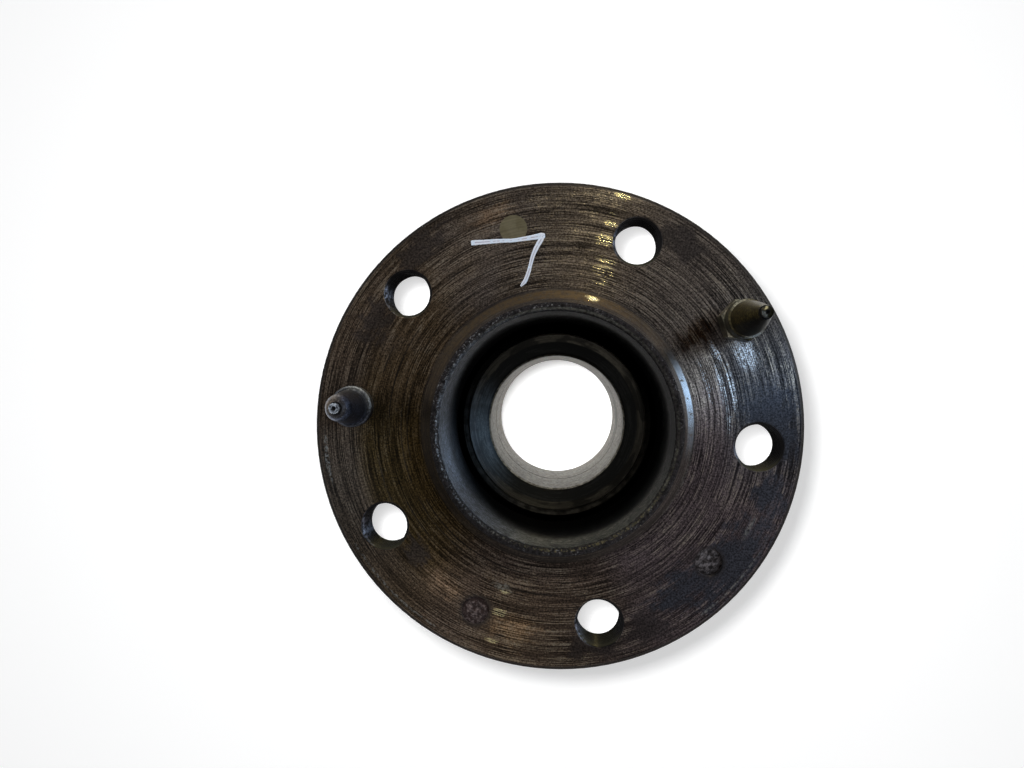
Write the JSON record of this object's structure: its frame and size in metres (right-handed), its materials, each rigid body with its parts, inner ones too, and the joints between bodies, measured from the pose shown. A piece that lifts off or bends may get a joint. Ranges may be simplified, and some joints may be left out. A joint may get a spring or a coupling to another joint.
{
  "type": "wheel hub bearing",
  "caption": "Rotating flanged wheel hub: a sealed angular-contact ball bearing is pressed in its barrel; spigot, tapped bolt holes and locating pins carry the wheel.",
  "frame": {"origin": "centre of the wheel flange's face, on the axis of rotation", "axes": "+Z along the axis of rotation, outboard towards the wheel; +X and +Y in the plane of the flange's face"},
  "size_m": [0.1194, 0.1194, 0.1051],
  "materials": {
    "hub_iron": "dark turned face, oiled and slightly rusty",
    "ring_steel": "ground bearing steel, stained",
    "ball_steel": "polished bearing balls",
    "spring_steel": "phosphated spring steel",
    "tone_steel": "pressed steel, dull",
    "pin_steel": "yellow passivated steel, worn and oily",
    "stub_steel": "broken screw steel, rusty",
    "cage_plastic": "moulded polyamide",
    "seal_case_steel": "pressed sheet",
    "seal_rubber": "black nitrile rubber",
    "paint_pen": "pale paint-pen stroke"
  },
  "bodies": {
    "axle_side": {"inner_ring_outboard": "ring_steel", "inner_ring_inboard": "ring_steel", "inner_ring_clip": "spring_steel"},
    "hub": {"hub_flange": "hub_iron", "bearing_outer_ring": "ring_steel", "seal_case_outboard": "seal_case_steel", "seal_case_inboard": "seal_case_steel", "seal_lip_outboard": "seal_rubber", "seal_lip_inboard": "seal_rubber", "circlip": "spring_steel", "abs_tone_ring": "tone_steel", "locating_pin_long": "pin_steel", "locating_pin_short": "pin_steel", "screw_stub_top": "stub_steel", "screw_stub_lower_left": "stub_steel", "screw_stub_lower_right": "stub_steel"},
    "outboard_row": {"cage_outboard": "cage_plastic", "ball_outboard_01": "ball_steel", "ball_outboard_02": "ball_steel", "ball_outboard_03": "ball_steel", "ball_outboard_04": "ball_steel", "ball_outboard_05": "ball_steel", "ball_outboard_06": "ball_steel", "ball_outboard_07": "ball_steel", "ball_outboard_08": "ball_steel", "ball_outboard_09": "ball_steel", "ball_outboard_10": "ball_steel", "ball_outboard_11": "ball_steel", "ball_outboard_12": "ball_steel", "ball_outboard_13": "ball_steel"},
    "inboard_row": {"cage_inboard": "cage_plastic", "ball_inboard_01": "ball_steel", "ball_inboard_02": "ball_steel", "ball_inboard_03": "ball_steel", "ball_inboard_04": "ball_steel", "ball_inboard_05": "ball_steel", "ball_inboard_06": "ball_steel", "ball_inboard_07": "ball_steel", "ball_inboard_08": "ball_steel", "ball_inboard_09": "ball_steel", "ball_inboard_10": "ball_steel", "ball_inboard_11": "ball_steel", "ball_inboard_12": "ball_steel", "ball_inboard_13": "ball_steel"}
  },
  "joints": [
    {"name": "hub_spin", "type": "hinge", "parent": "axle_side", "child": "hub", "pos_m": [0, 0, -0.0445], "axis": [0, 0, 1], "continuous": true},
    {"name": "outboard_row_spin", "type": "hinge", "parent": "axle_side", "child": "outboard_row", "pos_m": [0, 0, -0.0345], "axis": [0, 0, 1], "continuous": true},
    {"name": "inboard_row_spin", "type": "hinge", "parent": "axle_side", "child": "inboard_row", "pos_m": [0, 0, -0.0545], "axis": [0, 0, 1], "continuous": true}
  ],
  "couplings": [
    {"joint": "outboard_row_spin", "follows": "hub_spin", "ratio": 0.5843},
    {"joint": "inboard_row_spin", "follows": "hub_spin", "ratio": 0.5843}
  ]
}
